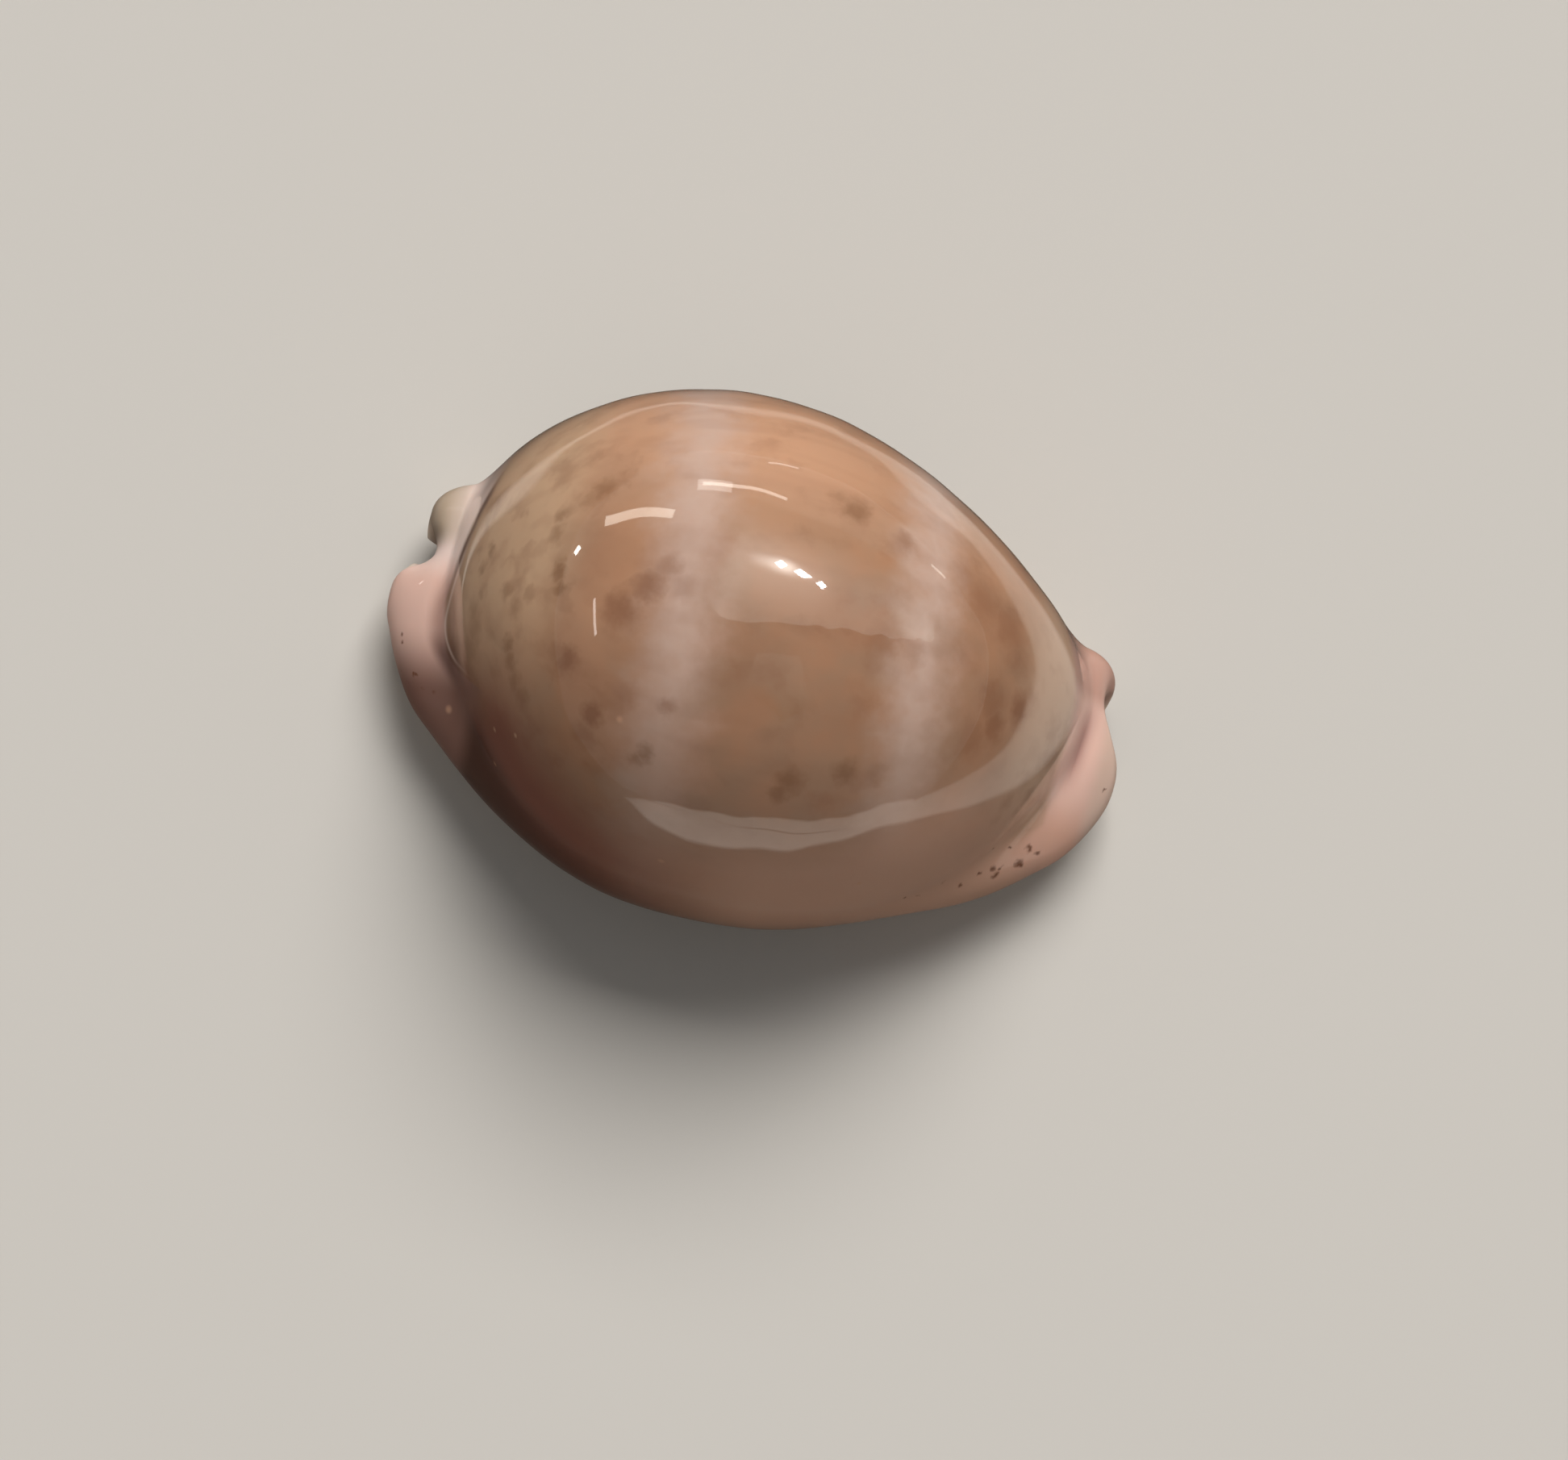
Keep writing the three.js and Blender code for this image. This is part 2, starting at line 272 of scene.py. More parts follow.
def section_rows():
    """Sections from the rear rim to the front rim: along the shell, into the rim, and teeth passed."""
    rim = np.sin(math.pi / 2 * np.arange(1, RIM_ROWS + 1) / RIM_ROWS)
    even = np.linspace(-1, 1, BODY_ROWS + 1)
    body = even * (1 + END_CROWDING) - END_CROWDING * even**3
    along = np.concatenate([-np.ones(RIM_ROWS), body, np.ones(RIM_ROWS)])
    into_rim = np.concatenate([rim[::-1], np.zeros(BODY_ROWS + 1), rim])
    passed = TEETH * np.concatenate([np.zeros(RIM_ROWS), (even + 1) / 2, np.ones(RIM_ROWS)])
    return along, into_rim, passed


def shell_grid():
    """Rows of closed loops round the wall, with each point's share of the dome and of the hollow."""
    along, rim, passed = section_rows()
    even = np.linspace(0, 1, ARC_STEPS + 1)
    crowded = even - ARC_CROWDING * np.sin(2 * math.pi * even) / (2 * math.pi)
    start = lip_angle(along, rim, -1)[:, None]
    end = lip_angle(along, rim, 1)[:, None]
    angle = lerp(start, end, crowded[None, :])
    x, outer, inner, on_dome = station_at(along[:, None], rim[:, None], angle)
    outer = outer + ripple(x, angle) * on_dome * (1 - rim[:, None])

    def place(radius):
        y = centre_across(x) + radius * np.cos(angle)
        z = centre_height(x) + radius * np.sin(angle)
        return np.stack([x, y, z], 2)

    outside = place(outer)
    inside = place(inner)[:, ::-1]
    tooth = -np.cos(2 * math.pi * passed)
    finish_base(outside, rim, tooth)
    columellar_lip = lip_points(outside[:, -1], inside[:, 0], tooth)
    outer_lip = lip_points(inside[:, -1], outside[:, 0], tooth)
    points = np.concatenate([outside, columellar_lip, inside, outer_lip], 1)
    no_dome = np.zeros(columellar_lip.shape[:2])
    dome_share = np.concatenate([on_dome, no_dome, on_dome[:, ::-1], no_dome], 1)
    edge = 0.5 * rim[:, None] ** 2
    outside_share = edge + np.zeros_like(on_dome)
    lip = np.linspace(0, 1, LIP_STEPS + 1)[1:-1]
    lip_share = lerp(edge, 1 - edge, lip)
    hollow_share = np.concatenate([outside_share, lip_share, 1 - outside_share, lip_share[:, ::-1]], 1)
    return points, dome_share, hollow_share


def settle(points, box):
    """Scales the shell to the CAD part's length, and stands the middle of its base at the origin."""
    low = points.min((0, 1))
    high = points.max((0, 1))
    scale = (box[1].x - box[0].x) / (high[0] - low[0])
    middle = (low + high) / 2
    middle[2] = low[2]
    return (points - middle) * scale


def add(name, data):
    piece = bpy.data.objects.new(name, data)
    bpy.context.collection.objects.link(piece)
    return piece


def shell_piece(box):
    """The whole shell as one closed mesh."""
    points, dome_share, hollow_share = shell_grid()
    rows, round_count = dome_share.shape
    index = np.arange(rows * round_count).reshape(rows, round_count)
    ahead = np.roll(index, -1, 1)
    quads = np.stack([index[:-1], index[1:], ahead[1:], ahead[:-1]], 2).reshape(-1, 4)
    mesh = bpy.data.meshes.new("cowrie_shell")
    mesh.from_pydata(settle(points, box).reshape(-1, 3).tolist(), [], quads.tolist())
    for name, values in (("on_dome", dome_share), ("in_hollow", hollow_share)):
        mesh.attributes.new(name, "FLOAT", "POINT").data.foreach_set("value", values.ravel())
    joined = bmesh.new()
    joined.from_mesh(mesh)
    bmesh.ops.remove_doubles(joined, verts=joined.verts, dist=SAME_POINT)
    bmesh.ops.recalc_face_normals(joined, faces=joined.faces)
    joined.to_mesh(mesh)
    joined.free()
    mesh.shade_smooth()
    return add("cowrie_shell", mesh)


def tint(red, green, blue):
    """A colour as seen on a screen, 0 to 255, in the linear values that a shader takes."""
    linear = [((c / 255 + 0.055) / 1.055) ** 2.4 if c > 10 else c / 255 / 12.92 for c in (red, green, blue)]
    return (*linear, 1.0)


class Field:
    """A node's socket, which can be used in sums, products and quotients."""

    def __init__(self, paint, socket):
        self.paint = paint
        self.socket = socket

    def __add__(self, other):
        return self.paint.maths("ADD", self, other)

    __radd__ = __add__

    def __sub__(self, other):
        return self.paint.maths("SUBTRACT", self, other)

    def __rsub__(self, other):
        return self.paint.maths("SUBTRACT", other, self)

    def __mul__(self, other):
        return self.paint.maths("MULTIPLY", self, other)

    __rmul__ = __mul__

    def __truediv__(self, other):
        return self.paint.maths("DIVIDE", self, other)


class Paint:
    """Lays out the nodes of one material."""

    def __init__(self, name):
        self.material = bpy.data.materials.new(name)
        self.material.use_nodes = True
        self.tree = self.material.node_tree
        self.tree.nodes.clear()

    def node(self, kind, settings=None, inputs=None, output=0):
        made = self.tree.nodes.new(kind)
        for name, value in (settings or {}).items():
            setattr(made, name, value)
        for key, value in (inputs or {}).items():
            if isinstance(value, Field):
                self.tree.links.new(value.socket, made.inputs[key])
            else:
                made.inputs[key].default_value = value
        return Field(self, made.outputs[output])

    def maths(self, operation, *values):
        return self.node("ShaderNodeMath", {"operation": operation}, dict(enumerate(values)))

    def vector(self, operation, *values, output=0):
        return self.node("ShaderNodeVectorMath", {"operation": operation}, dict(enumerate(values)), output)

    def most(self, *values):
        """The largest of several numbers."""
        largest = values[0]
        for value in values[1:]:
            largest = self.maths("MAXIMUM", largest, value)
        return largest

    def least(self, first, second):
        return self.maths("MINIMUM", first, second)

    def parts(self, place):
        """A place's three coordinates."""
        split = self.node("ShaderNodeSeparateXYZ", None, {"Vector": place}, "X")
        return [Field(self, split.socket.node.outputs[axis]) for axis in "XYZ"]

    def join(self, x, y, z):
        return self.node("ShaderNodeCombineXYZ", None, {"X": x, "Y": y, "Z": z}, "Vector")

    def attribute(self, name):
        return self.node("ShaderNodeAttribute", {"attribute_name": name}, None, "Fac")

    def rise(self, value, start, end):
        """0 below start and 1 above end, with a soft step between; start may be above end."""
        flip = start > end
        low, high = min(start, end), max(start, end)
        step = self.node(
            "ShaderNodeMapRange",
            {"interpolation_type": "SMOOTHSTEP"},
            {"Value": value, "From Min": low, "From Max": high},
        )
        return 1 - step if flip else step

    def bump(self, value, middle, half_width, soft):
        """1 within half_width of a middle, falling to 0 over a soft edge."""
        away = self.maths("ABSOLUTE", value - middle)
        return self.rise(away, half_width + soft, half_width - soft)

    def noise(self, place, scale, detail=2.0, roughness=0.5, output="Fac"):
        return self.node(
            "ShaderNodeTexNoise",
            {"noise_dimensions": "3D"},
            {"Vector": place, "Scale": scale, "Detail": detail, "Roughness": roughness},
            output,
        )

    def mix(self, base, over, share):
        """Lays one colour over another."""
        return self.node(
            "ShaderNodeMix",
            {"data_type": "RGBA", "blend_type": "MIX"},
            {0: share, 6: base, 7: over},
            2,
        )

    def stretched(self, place, along, across, up):
        """The same place with its lengths multiplied, so that a pattern is squeezed or drawn out."""
        return self.vector("MULTIPLY", place, (along, across, up))

    def drift(self, place, scale, reach):
        """Small wandering shifts of a place, which make straight edges ragged."""
        cloud = self.noise(place, scale, 2, output="Color")
        return self.vector("MULTIPLY", self.vector("SUBTRACT", cloud, (0.5,) * 3), (reach,) * 3)

    def finish(self, look):
        surface = self.node("ShaderNodeBsdfPrincipled", None, look, "BSDF")
        output = self.tree.nodes.new("ShaderNodeOutputMaterial")
        self.tree.links.new(surface.socket, output.inputs["Surface"])
        return self.material


# Colours of the shell, as seen on a screen
TAN = tint(166, 123, 94)
GREY_TAN = tint(158, 122, 96)
WARM_TAN = tint(200, 154, 123)
ROSY_TAN = tint(186, 140, 108)
OLIVE_GREY = tint(206, 170, 138)
LILAC_GREY = tint(200, 172, 158)
WARM_BROWN = tint(130, 86, 60)
OLIVE_BROWN = tint(116, 76, 44)
PURPLE_BROWN = tint(130, 75, 57)
MARGIN_FAWN = tint(204, 160, 136)
# Dark margin colours, partly the shell's own and partly painted shade low on the sides
LOW_MARGIN_AND_SHADE = tint(80, 58, 47)
MARGIN_DARK_AND_SHADE = tint(80, 44, 34)
FRONT_BEIGE = tint(186, 152, 126)
LOBE_PINK = tint(224, 186, 172)
LOBE_ORANGE = tint(208, 160, 138)
# Pale rim of the front callus, also a painted highlight on the small lobe
PALE_RIM_AND_HIGHLIGHT = tint(214, 184, 168)
LOBE_SHADE = tint(122, 86, 74)
# The furrow's rose, deepened with painted shade
FURROW_ROSE_AND_SHADE = tint(132, 80, 78)
ARM_LILAC = tint(236, 212, 203)
KNOB_WHITE = tint(196, 178, 165)
# Painted shade: the olive-beige of the knob's end, turned from the light
KNOB_OLIVE_SHADE = tint(176, 157, 137)
KNOB_SHADE = tint(84, 66, 52)
SMALL_LOBE = tint(190, 150, 136)
CREASE_MAUVE = tint(96, 66, 58)
PALE_LINE = tint(206, 184, 172)
BASE_CREAM = tint(222, 204, 186)
TOOTH_CREAM = tint(236, 226, 212)
HOLLOW_MAUVE = tint(150, 116, 116)
SPECK_BROWN = tint(104, 60, 38)

# Soft spots of the back, in millimetres: place, radius and strength
OLIVE_SPOTS = [
    (-7.2, 3.7, 12.2, 0.5, 0.8), (-7.6, 3.3, 12.1, 0.35, 0.5), (-8.4, 2.6, 11.4, 0.32, 0.7),
    (-8.5, 1.9, 11.6, 0.36, 0.7), (-8.0, 0.9, 12.2, 0.25, 0.5), (-8.1, 0.4, 12.2, 0.34, 0.9),
    (-7.9, -0.1, 12.4, 0.3, 0.9), (-10.6, 1.3, 8.4, 0.3, 0.8), (-10.8, 0.6, 8.1, 0.28, 0.7),
    (-9.7, -0.3, 10.0, 0.35, 0.6), (-9.3, -0.9, 10.6, 0.35, 0.5), (-8.9, -0.4, 11.2, 0.3, 0.4),
    (-9.2, -2.2, 10.2, 0.32, 0.8), (-9.0, -2.8, 10.3, 0.36, 0.7), (-8.7, -3.4, 10.4, 0.4, 0.7),
    (-8.3, -4.0, 10.6, 0.4, 0.6), (1.5, -5.0, 13.6, 0.5, 1.0), (1.2, -5.4, 13.3, 0.4, 0.9),
    (3.3, -4.2, 13.6, 0.42, 0.8), (4.4, -4.0, 13.3, 0.35, 0.45), (9.6, -3.2, 8.3, 0.4, 0.6),
    (9.2, -3.8, 8.0, 0.35, 0.5), (10.4, -2.6, 7.0, 0.35, 0.6), (10.1, -3.3, 6.9, 0.3, 0.5),
    (1.6, 4.9, 13.5, 0.55, 0.9), (0.9, 5.2, 13.4, 0.35, 0.5), (-3.6, -5.2, 13.3, 0.34, 0.9),
    (-3.9, -5.5, 13.1, 0.3, 0.8),
]
BROWN_SPOTS = [
    (-5.7, -0.7, 14.1, 0.75, 0.9), (-5.0, 0.4, 14.5, 0.6, 0.8), (-4.5, 1.2, 14.6, 0.5, 0.5),
    (-6.3, 1.4, 13.6, 1.5, 0.38), (-3.8, 0.6, 14.8, 0.45, 0.4), (-7.0, -2.6, 12.8, 0.5, 1.0),
    (-7.5, -2.3, 12.5, 0.4, 0.5), (-5.8, -4.3, 13.0, 0.42, 1.2), (-5.9, -5.0, 12.4, 0.5, 0.6),
    (-4.9, -3.5, 13.9, 0.5, 0.5), (-3.3, -3.6, 14.3, 0.3, 0.6), (3.4, 0.5, 14.5, 0.75, 0.6),
    (4.6, 0.4, 14.0, 0.45, 0.35), (3.5, 4.3, 13.3, 0.45, 0.7), (8.0, 2.6, 11.2, 0.9, 0.7),
    (8.6, 1.6, 11.0, 0.7, 0.5), (7.9, -0.2, 11.8, 0.8, 0.7), (9.1, -0.1, 10.5, 0.6, 1.0),
    (8.2, -1.0, 11.4, 0.6, 0.9), (7.4, -1.6, 11.9, 0.8, 0.5), (6.9, 3.2, 11.9, 1.0, 0.6),
    (6.1, 3.7, 12.2, 0.8, 0.4), (2.2, 1.0, 14.8, 1.4, 0.25), (2.6, -2.2, 14.5, 1.2, 0.15),
    (-0.8, -1.6, 15.0, 1.5, 0.3),
]
REAR_STREAKS = [
    (-10.7, -0.4, 8.4, 0.35, 0.5), (-10.8, -1.0, 7.8, 0.5, 0.6), (-10.6, -1.7, 7.8, 0.6, 0.6),
    (-10.6, -2.4, 7.2, 0.7, 0.7), (-10.3, -3.1, 6.9, 0.7, 0.6), (-9.9, -3.8, 7.1, 0.7, 0.5),
    (-9.5, -4.4, 7.3, 0.7, 0.4), (-11.5, -2.1, 4.8, 0.6, 0.9), (-11.4, -2.7, 4.7, 0.6, 1.0),
    (-11.1, -3.3, 4.8, 0.6, 0.9), (-10.6, -3.9, 4.9, 0.6, 0.7),
]

# Small dark specks, and painted highlights on tiny pimple tops: place and radius
SPECKS = [
    (11.2, -4.1, 4.3, 0.15), (11.6, -4.2, 3.9, 0.14), (11.0, -4.7, 4.1, 0.17), (10.5, -4.3, 4.8, 0.1),
    (9.7, -4.6, 5.6, 0.1), (10.0, -5.2, 4.8, 0.14), (10.2, -5.4, 4.5, 0.16), (10.3, -5.1, 4.6, 0.1),
    (9.5, -5.5, 5.1, 0.1), (8.9, -6.1, 5.2, 0.1), (8.2, -6.3, 6.1, 0.09), (7.5, -6.9, 5.9, 0.11),
    (7.0, -7.2, 6.3, 0.1), (13.0, -1.4, 3.9, 0.05), (13.5, -1.2, 3.6, 0.06), (-13.1, -1.8, 3.5, 0.1),
    (-13.1, -2.1, 3.4, 0.08), (-12.8, -3.0, 3.0, 0.09), (-12.2, -3.2, 3.6, 0.1), (-12.5, -3.4, 3.2, 0.08),
    (-11.9, -3.5, 3.7, 0.09), (-11.5, -3.7, 4.0, 0.12),
]
PIMPLE_GLINTS = [
    (-10.8, -4.2, 4.3, 0.14), (-9.0, -5.0, 7.9, 0.1), (-4.8, -4.3, 13.5, 0.12), (-8.2, -5.2, 9.4, 0.09),
    (-8.7, -6.0, 6.2, 0.1), (-2.1, -8.4, 9.7, 0.12), (5.0, -7.4, 9.2, 0.09),
]


def spots(paint, place, centres):
    """Soft round spots: each has a centre, a radius and a strength."""
    marks = []
    for x, y, z, radius, strength in centres:
        away = paint.vector("DISTANCE", place, (x, y, z), output="Value")
        marks.append(paint.rise(away, 1.6 * radius, 0.2 * radius) * strength)
    return paint.least(paint.most(*marks), 1)


def back(paint, place, ragged, x, y):
    """Ground of the domed back: tan, warmer towards the columella, olive-grey to the rear, beige in front."""
    cloud = paint.noise(place, 0.35, 3)
    colour = paint.mix(TAN, GREY_TAN, paint.rise(cloud, 0.4, 0.62))
    warm = paint.rise(y, 1.0, 7.0) * paint.rise(x, -10.5, -7.5) * (paint.rise(x, 5.0, -3.0) * 0.5 + 0.5)
    colour = paint.mix(colour, WARM_TAN, warm)
    rosy = paint.bump(x, -6.1, 1.2, 1.0) * paint.bump(y, 0.8, 2.6, 1.4)
    colour = paint.mix(colour, ROSY_TAN, rosy)
    olive = paint.rise(x, -6.8, -9.0) * (paint.rise(y, -3.5, 0.5) * 0.5 + 0.4)
    colour = paint.mix(colour, OLIVE_GREY, olive)
    colour = paint.mix(colour, FRONT_BEIGE, paint.rise(x, 8.4, 10.2))
    smudge = paint.noise(paint.stretched(ragged, 0.5, 0.7, 0.7), 1.0, 2)
    return paint.mix(colour, WARM_BROWN, paint.rise(smudge, 0.48, 0.78) * 0.35)


def bands(paint, wavering, y):
    """Share of the two pale lilac bands that cross the back."""
    along, _, _ = paint.parts(wavering)
    rear_band = paint.bump(along + y * 0.09, -3.6, 1.0, 1.3)
    front_band = paint.bump(along + y * 0.08, 5.05, 0.85, 1.2)
    fading = paint.rise(y, -8.0, 0.0) * 0.5 + 0.36
    return paint.most(rear_band, front_band) * fading


def margins(paint, colour, x, y, z):
    """Low down on the outer lip's side: fawn in front, purple-brown at the rear, and darker towards the
    bottom edge, partly the shell's dark margin and partly painted shade.
    """
    front_side = paint.rise(y, -1.5, -6.0) * paint.rise(x, -6.0, 2.0)
    colour = paint.mix(colour, MARGIN_FAWN, paint.rise(z, 13.0, 10.0) * front_side * 0.9)
    rear_side = paint.rise(y, -1.8, -5.2) * paint.rise(x, 2.0, -6.5)
    colour = paint.mix(colour, PURPLE_BROWN, paint.rise(z, 12.4, 8.0) * rear_side)
    # Painted shade, partly the shell's own dark margin: darker low on the side at the rear
    colour = paint.mix(colour, MARGIN_DARK_AND_SHADE, paint.rise(z, 8.0, 4.5) * rear_side * 0.8)
    # Painted shade, partly the shell's own colour: darker towards the bottom edge, most towards the rear
    grey = paint.rise(x, 8.0, 2.5) * 0.7 + 0.1
    return paint.mix(colour, LOW_MARGIN_AND_SHADE, paint.rise(z, 7.5, 3.5) * grey)


def shell_colour(paint, place):
    """Colour over the whole shell, laid on from the ground colour to the smallest specks."""
    x, y, z = paint.parts(place)
    on_dome = paint.attribute("on_dome")
    in_hollow = paint.attribute("in_hollow")
    slow = paint.drift(place, 0.7, 1.5)
    quick = paint.drift(place, 2.4, 0.6)
    wavering = paint.vector("ADD", paint.vector("ADD", place, slow), quick)
    ragged = paint.vector("ADD", place, quick)
    colour = back(paint, place, ragged, x, y)
    colour = paint.mix(colour, LILAC_GREY, bands(paint, wavering, y))
    growth_lines = paint.noise(paint.stretched(place, 0.12, 1.1, 1.1), 1.0, 1)
    colour = paint.mix(colour, WARM_BROWN, paint.rise(growth_lines, 0.45, 0.7) * 0.12)
    colour = paint.mix(colour, WARM_BROWN, spots(paint, ragged, BROWN_SPOTS) * 0.75)
    colour = paint.mix(colour, OLIVE_BROWN, spots(paint, ragged, OLIVE_SPOTS) * 0.6)

    colour = margins(paint, colour, x, y, z)
    colour = paint.mix(colour, OLIVE_BROWN, spots(paint, ragged, REAR_STREAKS) * 0.6)
    colour = ends(paint, colour, x, y, z, on_dome)
    colour = base(paint, colour, x, z, in_hollow)
    # Painted highlights: pale dots for the glints on tiny pimple tops of the back
    pimple_glints = spots(paint, place, [(*pimple, 1.0) for pimple in PIMPLE_GLINTS])
    colour = paint.mix(colour, WARM_TAN, pimple_glints * 0.7)
    specks = spots(paint, ragged, [(*speck, 1.0) for speck in SPECKS])
    return paint.mix(colour, SPECK_BROWN, specks * 0.9)


def ends(paint, colour, x, y, z, on_dome):
    """The smooth callus of the two ends, with the lines and stains where it meets the dome."""
    on_margin = paint.rise(on_dome, 0.6, 0.1)
    return rear_end(paint, front_end(paint, colour, x, y, on_margin), x, y, on_margin)


def front_end(paint, colour, x, y, on_margin):
    """Pink callus with a rose furrow deepened by painted shade, orange low on the outer lip's side, a paler
    rim, and a duller small lobe with a painted highlight.
    """
    low_side = paint.most(-3.1 - y, 0)
    small_side = paint.most(y - 1.3, 0)
    beyond = x + low_side * 0.9 + small_side * 0.3 - 11.35
    # The furrow's own rose, darkened as painted shade in the groove
    furrow = paint.bump(x - y * 0.1, 12.15, 0.1, 0.5) * paint.bump(y, 0.1, 1.3, 1.0)
    pink = paint.mix(LOBE_PINK, LOBE_ORANGE, paint.rise(y, -1.5, -3.5) * 0.8)
    pink = paint.mix(pink, FURROW_ROSE_AND_SHADE, furrow * 0.95)
    pink = paint.mix(pink, PALE_RIM_AND_HIGHLIGHT, paint.rise(x, 12.7, 13.4))
    pink = paint.mix(pink, SMALL_LOBE, paint.rise(y, 1.4, 2.2))
    # Painted highlight on the small front lobe
    pink = paint.mix(pink, PALE_RIM_AND_HIGHLIGHT, paint.bump(x, 12.75, 0.1, 0.35) * paint.bump(y, 2.5, 0.2, 0.6) * 0.7)
    across = paint.rise(y, -6.2, -3.8) * paint.rise(y, 5.4, 3.2)
    soft = paint.rise(beyond / (low_side * 1.2 + 1), -0.15, 0.3) * across
    at_rim = paint.rise(x, 10.4, 12.4) * paint.rise(y, 4.6, 2.6) * paint.rise(y, -6.4, -4.4)
    return paint.mix(colour, pink, paint.most(on_margin * at_rim, soft))


def rear_callus(paint, x, y, beyond):
    """Colours of the rear callus: pink lobe with painted shade by the dome and towards its bottom, lilac arm,
    and a whitish knob whose end is painted olive shade, darkest low down.
    """
    # Painted shade on the pink lobe beside its crease with the dome
    shade_by_the_dome = paint.rise(beyond, 0.75, 0.05) * paint.bump(y, -1.2, 1.6, 0.9)
    pink = paint.mix(LOBE_PINK, LOBE_SHADE, shade_by_the_dome * 0.6)
    # Painted shade, partly the lobe's own darker colour: darker towards the bottom
    pink = paint.mix(pink, LOBE_SHADE, paint.rise(y, -1.3, -3.7) * 0.95)
    pink = paint.mix(pink, ARM_LILAC, paint.rise(y, 0.2, 1.6))
    knob = paint.rise(y, 1.4, 2.4) * paint.rise(x, -11.6, -12.2)
    pink = paint.mix(pink, KNOB_WHITE, knob)
    # Painted shade on the knob's end, which is turned from the light
    pink = paint.mix(pink, KNOB_OLIVE_SHADE, knob * paint.rise(x, -12.0, -12.8))
    return paint.mix(pink, KNOB_SHADE, knob * paint.rise(x, -12.3, -13.0) * paint.rise(y, 2.7, 1.8) * 0.8)


def rear_end(paint, colour, x, y, on_margin):
    """The rear callus, with a stain, a dark crease and a pale line where it meets the dome."""
    above = paint.most(y + 0.8, 0)
    below = paint.least(y + 0.8, 0)
    beyond = above * above * 0.031 + below * below * 0.25 - x - 11.85
    rear = paint.rise(x, -10.0, -11.2)
    on_flank = paint.rise(beyond, -0.06, 0.06) * paint.rise(y, 5.0, 3.0)
    fading = paint.rise(beyond, -0.1, 0.6) * paint.rise(y, 3.0, 5.0)
    on_rim = on_margin * rear * paint.rise(y, -4.8, -2.8) * paint.rise(y, 6.0, 4.0)
    callus = paint.most(on_rim, on_flank + fading)
    colour = paint.mix(colour, rear_callus(paint, x, y, beyond), callus * paint.rise(x, -9.5, -10.3))
    stain = paint.bump(beyond, 0.1, 0.35, 0.3) * paint.rise(y, -1.3, -2.4) * paint.rise(y, -5.5, -4.0)
    colour = paint.mix(colour, CREASE_MAUVE, stain * rear * 0.75)
    crease = paint.bump(beyond, -0.05, 0.07, 0.1) * paint.bump(y, 2.2, 1.9, 1.0) * rear
    colour = paint.mix(colour, CREASE_MAUVE, crease * 0.9)
    thin_line = paint.bump(beyond, -0.14, 0.03, 0.05) * rear * paint.bump(y, -0.7, 2.2, 0.8)
    return paint.mix(colour, PALE_LINE, thin_line * 0.7)


def base(paint, colour, x, z, in_hollow):
    """The cream base, the paler teeth, and the hollow, which is mauve inside, with painted olive shade in its
    canals.
    """
    outside = paint.rise(in_hollow, 0.8, 0.5)
    colour = paint.mix(colour, BASE_CREAM, paint.rise(z, 2.8, 0.9) * outside)
    within_canals = paint.rise(paint.maths("ABSOLUTE", x), 11.5, 13.0)
    teeth = paint.bump(in_hollow, 0.35, 0.25, 0.15) * paint.rise(z, 2.2, 1.2)
    colour = paint.mix(colour, TOOTH_CREAM, teeth * (1 - within_canals))
    inside = paint.rise(in_hollow, 0.6, 1.0)
    colour = paint.mix(colour, HOLLOW_MAUVE, inside)
    # Painted shade in the canals, in the olive of the knob's shaded end
    return paint.mix(colour, KNOB_OLIVE_SHADE, inside * within_canals)


def polish(paint, place):
    """Full over the back, and less on the outer lip's side and at the two ends, where it is duller."""
    x, y, z = paint.parts(place)
    down_the_side = paint.rise(z, 11.0, 6.5) * paint.rise(y, 0.0, -4.0)
    at_the_ends = paint.rise(paint.maths("ABSOLUTE", x), 11.3, 12.0)
    return 1 - paint.most(down_the_side * 0.5, at_the_ends * 0.82)


def enamel():
    """Polished enamel of a fresh shell: colour under a clear, very smooth surface."""
    paint = Paint("cowrie_enamel")
    object_place = paint.node("ShaderNodeTexCoord", None, None, "Object")
    place = paint.vector("MULTIPLY", object_place, (1 / MM,) * 3)
    return paint.finish(
        {
            "Base Color": shell_colour(paint, place),
            "Roughness": 0.4,
            "IOR": 1.5,
            "Specular IOR Level": 0.1,
            "Subsurface Weight": 0.12,
            "Subsurface Radius": (1.0, 0.5, 0.35),
            "Subsurface Scale": 0.8 * MM,
            "Coat Weight": polish(paint, place),
            "Coat Roughness": 0.03,
            "Coat IOR": 1.6,
        }
    )


# Sizes round the shell, in metres
FLOOR_HALF = 8.0
BACKDROP_RADIUS = 7.9
CEILING = 0.5


def sheet(name, rows, material):
    """A mesh sheet through rows of corners, in metres."""
    wide = len(rows[0])
    corners = [corner for row in rows for corner in row]
    faces = []
    for row in range(len(rows) - 1):
        for step in range(wide - 1):
            first = row * wide + step
            faces.append((first, first + 1, first + wide + 1, first + wide))
    mesh = bpy.data.meshes.new(name)
    mesh.from_pydata(corners, [], faces)
    mesh.materials.append(material)
    return add(name, mesh)


def level_square(name, half, height, material):
    rows = [[(side * half, end * half, height) for side in (-1, 1)] for end in (-1, 1)]
    return sheet(name, rows, material)


def glow_paint(name, colour, radiance):
    """A face that gives an even light of one colour, and reflects none."""
    look = {
        "Base Color": BLACK,
        "Specular IOR Level": 0.0,
        "Emission Color": colour,
        "Emission Strength": radiance,
    }
    return Paint(name).finish(look)


